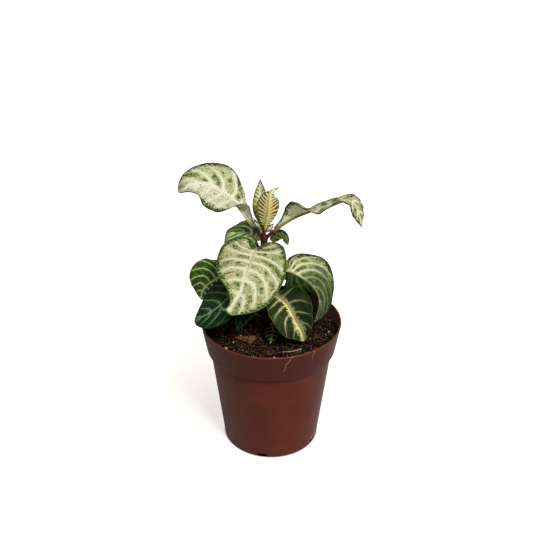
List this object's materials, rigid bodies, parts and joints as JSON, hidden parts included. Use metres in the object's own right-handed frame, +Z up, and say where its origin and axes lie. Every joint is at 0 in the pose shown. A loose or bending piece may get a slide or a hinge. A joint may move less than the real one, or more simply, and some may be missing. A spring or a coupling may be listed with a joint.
{
  "type": "potted zebra plant",
  "caption": "Young zebra plant in a round plastic nursery pot: upright stem, waxy white-veined green leaves, soil with perlite.",
  "frame": {"origin": "middle of the pot's foot, on the surface that the pot stands on", "axes": "+Z up along the stem and the pot's axis, -Y the front of the plant with the heart-shaped leaf, +X to the front view's right"},
  "size_m": [0.1466, 0.12, 0.2489],
  "materials": {
    "pot": "satin terracotta-brown plastic",
    "soil": "dark peat with white perlite",
    "stem": "dark purple-brown stem",
    "dry_leaf": "dry brown leaf",
    "leaf_upper_left": "waxy leaf, darker or paler by leaf, with pale veins",
    "leaf_upper_right": "waxy leaf, darker or paler by leaf, with pale veins",
    "bud_leaf_front": "waxy leaf, darker or paler by leaf, with pale veins",
    "bud_leaf_back": "waxy leaf, darker or paler by leaf, with pale veins",
    "leaf_front_heart": "waxy leaf, darker or paler by leaf, with pale veins",
    "leaf_back_left": "waxy leaf, darker or paler by leaf, with pale veins",
    "leaf_back_small": "waxy leaf, darker or paler by leaf, with pale veins",
    "leaf_left": "waxy leaf, darker or paler by leaf, with pale veins",
    "leaf_left_low": "waxy leaf, darker or paler by leaf, with pale veins",
    "leaf_right_arched": "waxy leaf, darker or paler by leaf, with pale veins",
    "leaf_front_right": "waxy leaf, darker or paler by leaf, with pale veins",
    "leaf_small_left": "waxy leaf, darker or paler by leaf, with pale veins",
    "leaf_small_front": "waxy leaf, darker or paler by leaf, with pale veins",
    "leaf_back_low_left": "waxy leaf, darker or paler by leaf, with pale veins",
    "leaf_back_low_right": "waxy leaf, darker or paler by leaf, with pale veins"
  },
  "bodies": {
    "root": {"pot": "pot", "soil": "soil", "stem": "stem", "dry_leaf": "dry_leaf", "leaf_upper_left": "leaf_upper_left", "leaf_upper_right": "leaf_upper_right", "bud_leaf_front": "bud_leaf_front", "bud_leaf_back": "bud_leaf_back", "leaf_front_heart": "leaf_front_heart", "leaf_back_left": "leaf_back_left", "leaf_back_small": "leaf_back_small", "leaf_left": "leaf_left", "leaf_left_low": "leaf_left_low", "leaf_right_arched": "leaf_right_arched", "leaf_front_right": "leaf_front_right", "leaf_small_left": "leaf_small_left", "leaf_small_front": "leaf_small_front", "leaf_back_low_left": "leaf_back_low_left", "leaf_back_low_right": "leaf_back_low_right"}
  },
  "joints": []
}
